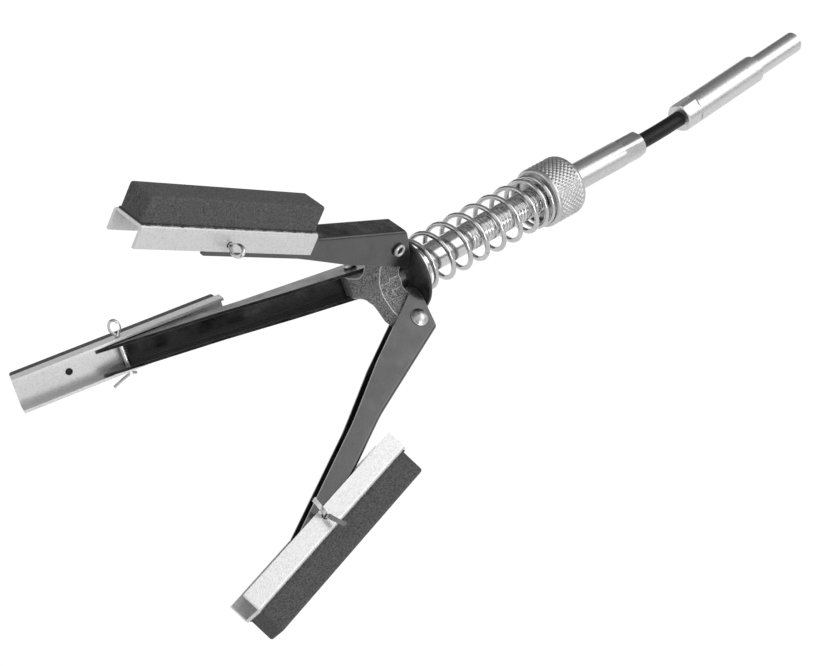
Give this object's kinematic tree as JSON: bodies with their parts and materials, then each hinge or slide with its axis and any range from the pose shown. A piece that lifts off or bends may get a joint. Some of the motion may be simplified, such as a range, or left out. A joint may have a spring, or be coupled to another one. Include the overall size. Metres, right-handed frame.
{
  "type": "cylinder hone",
  "caption": "Cylinder hone with a flexible drive shank, a knurled nut and spring on the shaft, and hinged arms that press tilting abrasive stones against a bore",
  "frame": {"origin": "middle of the drive shank's pin, on its axis", "axes": "+X out of the shank's free end along its axis, +Z towards the side of arm 1, +Y completing a right-handed frame"},
  "size_m": [0.3436, 0.152, 0.1357],
  "materials": {
    "turned_steel": "turned, bright",
    "shaft_steel": "bright rod, thread under the nut",
    "nut_steel": "diamond knurl, plain front ring",
    "spring_steel": "bright plated wire",
    "cable_cover": "black, satin",
    "cable_strand": "stranded wire",
    "cup_paint": "black, glossy",
    "hub_casting": "rough as cast",
    "arm_paint": "black, glossy",
    "rivet_steel": "plated",
    "holder_zinc": "galvanised, spangled",
    "pin_steel": "plated wire",
    "abrasive": "grainy abrasive"
  },
  "bodies": {
    "shank": {"drive_shank": "turned_steel"},
    "cable": {"cable_core": "cable_strand", "cable_sheath": "cable_cover"},
    "shaft": {"main_shaft": "shaft_steel", "hub_spider": "hub_casting", "arm_rivet_1": "rivet_steel", "arm_rivet_2": "rivet_steel", "arm_rivet_3": "rivet_steel"},
    "arm_1_body": {"arm_1": "arm_paint"},
    "stone_1_body": {"stone_holder_1": "holder_zinc", "stone_1": "abrasive", "cotter_pin_1": "pin_steel"},
    "arm_2_body": {"arm_2": "arm_paint"},
    "stone_2_body": {"stone_holder_2": "holder_zinc", "stone_2": "abrasive", "cotter_pin_2": "pin_steel"},
    "arm_3_body": {"arm_3": "arm_paint"},
    "stone_3_body": {"stone_holder_3": "holder_zinc", "stone_3": "abrasive", "cotter_pin_3": "pin_steel"},
    "cup": {"spring_cup": "cup_paint"},
    "spring": {"tension_spring": "spring_steel"},
    "nut": {"adjusting_nut": "nut_steel"}
  },
  "joints": [
    {"name": "cable_bend_vertical", "type": "hinge", "parent": "shank", "child": "cable", "pos_m": [-0.06767, 0.00004, 0.00003], "axis": [0, 1, 0], "range_deg": [-12, 12], "stiffness_Nm_per_rad": 20, "deforming": ["cable_sheath", "cable_core"]},
    {"name": "cable_bend_sideways", "type": "hinge", "parent": "cable", "child": "shaft", "pos_m": [-0.08002, 0.00035, 0.0003], "axis": [0.0433, -0.0011, 0.9991], "range_deg": [-12, 12], "stiffness_Nm_per_rad": 20, "deforming": ["cable_sheath", "cable_core"]},
    {"name": "arm_1_opening", "type": "hinge", "parent": "shaft", "child": "arm_1_body", "pos_m": [-0.21416, 0.00707, 0.02311], "axis": [0.0502, 0.9987, -0.0011], "range_deg": [-31.5, 16.6], "stiffness_Nm_per_rad": 0.5},
    {"name": "stone_1_tilt", "type": "hinge", "parent": "arm_1_body", "child": "stone_1_body", "pos_m": [-0.2856, 0.01071, 0.06521], "axis": [-0.0502, -0.9987, 0.0011], "range_deg": [0, 45]},
    {"name": "arm_2_opening", "type": "hinge", "parent": "shaft", "child": "arm_2_body", "pos_m": [-0.21453, 0.0218, -0.00239], "axis": [-0.0626, -0.4984, -0.8647], "range_deg": [-31.5, 16.6]},
    {"name": "stone_2_tilt", "type": "hinge", "parent": "arm_2_body", "child": "stone_2_body", "pos_m": [-0.28047, 0.0674, -0.02389], "axis": [0.0626, 0.4984, 0.8647], "range_deg": [-15, 30]},
    {"name": "arm_3_opening", "type": "hinge", "parent": "shaft", "child": "arm_3_body", "pos_m": [-0.21601, -0.0076, -0.00235], "axis": [0.0124, -0.5003, 0.8658], "range_deg": [-31.5, 16.6]},
    {"name": "stone_3_tilt", "type": "hinge", "parent": "arm_3_body", "child": "stone_3_body", "pos_m": [-0.29124, -0.0384, -0.01908], "axis": [-0.0124, 0.5003, -0.8658], "range_deg": [-14.4, 30.6]},
    {"name": "cup_slide", "type": "slide", "parent": "shaft", "child": "cup", "axis": [-0.9978, 0.0502, 0.0433], "range_m": [-0.0036, 0.002], "deforming": ["tension_spring"]},
    {"name": "nut_travel", "type": "slide", "parent": "shaft", "child": "spring", "axis": [-0.9978, 0.0502, 0.0433], "range_m": [-0.0045, 0.009], "deforming": ["tension_spring"]},
    {"name": "nut_turn", "type": "hinge", "parent": "spring", "child": "nut", "pos_m": [-0.13228, 0.00294, 0.00254], "axis": [-0.9978, 0.0502, 0.0433], "range_deg": [-1081, 2161]}
  ],
  "couplings": [
    {"joint": "arm_2_opening", "follows": "arm_1_opening", "ratio": 1},
    {"joint": "arm_3_opening", "follows": "arm_1_opening", "ratio": 1},
    {"joint": "cup_slide", "follows": "arm_1_opening", "m_per_rad": 0.0063},
    {"joint": "nut_turn", "follows": "nut_travel", "rad_per_m": 4188.8}
  ]
}
